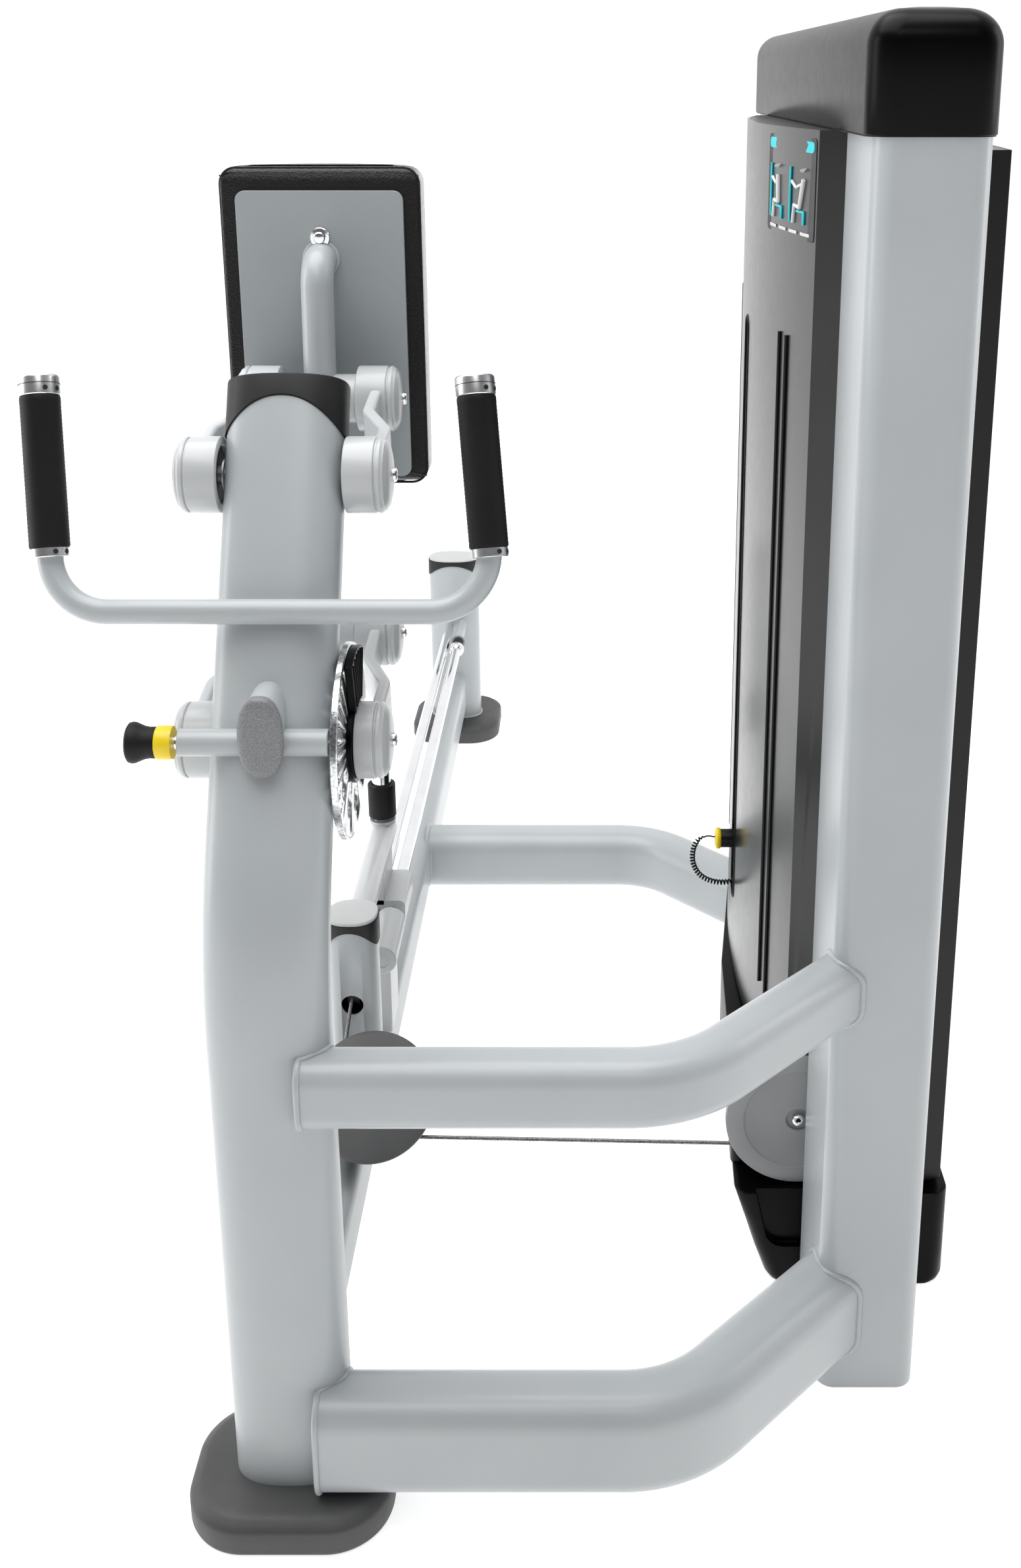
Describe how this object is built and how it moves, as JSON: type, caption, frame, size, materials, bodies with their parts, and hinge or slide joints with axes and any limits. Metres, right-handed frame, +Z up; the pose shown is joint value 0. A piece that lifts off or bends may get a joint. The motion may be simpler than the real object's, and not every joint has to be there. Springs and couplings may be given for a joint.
{
  "type": "seated cable row",
  "caption": "Cable exercise machine with a chest pad on a locking four-bar arm, a fixed U handlebar, a carriage on twin rods and an enclosed weight tower.",
  "frame": {"origin": "on the floor, at the centre of the machine's bounding box", "axes": "+Z up, +Y along the base rail from the main column to the rear post, +X towards the weight tower"},
  "size_m": [1.0677, 2.382, 1.598],
  "materials": {
    "frame_paint": "satin silver-grey powder coat",
    "cap_plastic": "matte dark grey",
    "foot_rubber": "matte",
    "grip_rubber": "matte",
    "gloss_plastic": "gloss black",
    "satin_plastic": "satin black",
    "cover_plastic": "satin dark grey",
    "chrome": "polished",
    "steel": "zinc plated",
    "plate_iron": "painted black",
    "pad_leather": "pebbled black"
  },
  "bodies": {
    "frame": {"main_column": "frame_paint", "base_rail": "frame_paint", "rear_post": "frame_paint", "front_post": "frame_paint", "lower_cross_tube": "frame_paint", "mid_cross_tube": "frame_paint", "rear_cross_tube": "frame_paint", "near_upright": "frame_paint", "far_upright": "frame_paint", "handlebar": "frame_paint", "pin_housing": "frame_paint", "rod_boss": "frame_paint", "column_cap": "cap_plastic", "rear_post_cap": "cap_plastic", "front_post_cap": "cap_plastic", "housing_cap": "cap_plastic", "column_foot": "foot_rubber", "rear_post_foot": "foot_rubber", "rod_bumper": "foot_rubber", "grip_left": "grip_rubber", "grip_right": "grip_rubber", "tower_cap": "gloss_plastic", "tower_base": "gloss_plastic", "front_shroud": "satin_plastic", "rear_shroud": "satin_plastic", "redirect_cover": "satin_plastic", "tower_pulley_cover": "cover_plastic", "guide_rod_left": "chrome", "guide_rod_right": "chrome", "stack_rod_near": "chrome", "stack_rod_far": "chrome", "upper_pivot_shaft": "steel", "lower_pivot_shaft": "steel", "top_beam": "steel", "drive_cable": "steel", "lift_cable": "steel", "resting_plates": "plate_iron"},
    "upper_links": {"link_upper_left": "frame_paint", "link_upper_right": "frame_paint"},
    "lower_links": {"link_lower_left": "frame_paint", "link_lower_right": "frame_paint", "index_disc": "chrome", "disc_hub": "gloss_plastic"},
    "pad_carrier": {"pad_upright": "frame_paint", "pad_plate": "frame_paint", "pad": "pad_leather"},
    "pull_pin": {"pull_knob": "grip_rubber", "plunger": "chrome"},
    "weight_stack": {"head_plate": "plate_iron", "selected_plate": "plate_iron"},
    "carriage": {"carriage_frame": "frame_paint", "carriage_post": "chrome", "post_sleeve": "foot_rubber"},
    "weight_pin": {"selector_pin": "satin_plastic", "lanyard": "grip_rubber"},
    "redirect_pulley": {"redirect_sheave": "satin_plastic"},
    "tower_pulley": {"tower_sheave": "satin_plastic"},
    "top_pulley_near": {"top_sheave_near": "satin_plastic"},
    "top_pulley_far": {"top_sheave_far": "satin_plastic"},
    "float_pulley": {"float_sheave": "satin_plastic"}
  },
  "joints": [
    {"name": "upper_link_hinge", "type": "hinge", "parent": "frame", "child": "upper_links", "pos_m": [-0.271, -0.861, 1.118], "axis": [1, 0, 0], "range_deg": [-22, 33]},
    {"name": "lower_link_hinge", "type": "hinge", "parent": "frame", "child": "lower_links", "pos_m": [-0.271, -0.94, 0.842], "axis": [1, 0, 0], "range_deg": [-22, 33]},
    {"name": "pad_hinge", "type": "hinge", "parent": "upper_links", "child": "pad_carrier", "pos_m": [-0.271, -0.6165, 1.1535], "axis": [1, 0, 0], "range_deg": [-33, 22]},
    {"name": "pull_pin_slide", "type": "slide", "parent": "frame", "child": "pull_pin", "axis": [-1, 0, 0], "range_m": [0, 0.014], "stiffness_N_per_m": 600},
    {"name": "stack_slide", "type": "slide", "parent": "frame", "child": "weight_stack", "axis": [0, 0, 1], "range_m": [0, 0.52], "deforming": ["lift_cable"]},
    {"name": "carriage_slide", "type": "slide", "parent": "frame", "child": "carriage", "axis": [0, 1, 0], "range_m": [0, 1.04]},
    {"name": "weight_pin_slide", "type": "slide", "parent": "weight_stack", "child": "weight_pin", "axis": [-1, 0, 0], "range_m": [0, 0.1]},
    {"name": "redirect_spin", "type": "hinge", "parent": "frame", "child": "redirect_pulley", "pos_m": [-0.2276, -0.7264, 0.2379], "axis": [0, -0.7071, 0.7071], "continuous": true},
    {"name": "tower_spin", "type": "hinge", "parent": "frame", "child": "tower_pulley", "pos_m": [0.328, -0.7505, 0.237], "axis": [0, 1, 0], "continuous": true},
    {"name": "top_near_spin", "type": "hinge", "parent": "frame", "child": "top_pulley_near", "pos_m": [0.38, -0.7055, 1.53], "axis": [1, 0, 0], "continuous": true},
    {"name": "top_far_spin", "type": "hinge", "parent": "frame", "child": "top_pulley_far", "pos_m": [0.38, -0.492, 1.53], "axis": [1, 0, 0], "continuous": true},
    {"name": "float_spin", "type": "hinge", "parent": "weight_stack", "child": "float_pulley", "pos_m": [0.38, -0.407, 0.575], "axis": [1, 0, 0], "continuous": true}
  ],
  "couplings": [
    {"joint": "lower_link_hinge", "follows": "upper_link_hinge", "ratio": 1},
    {"joint": "pad_hinge", "follows": "upper_link_hinge", "ratio": -1},
    {"joint": "carriage_slide", "follows": "stack_slide", "ratio": 2},
    {"joint": "redirect_spin", "follows": "stack_slide", "rad_per_m": -42.553},
    {"joint": "tower_spin", "follows": "stack_slide", "rad_per_m": 38.462},
    {"joint": "top_near_spin", "follows": "stack_slide", "rad_per_m": 44.444},
    {"joint": "top_far_spin", "follows": "stack_slide", "rad_per_m": 44.444},
    {"joint": "float_spin", "follows": "stack_slide", "rad_per_m": -25}
  ]
}
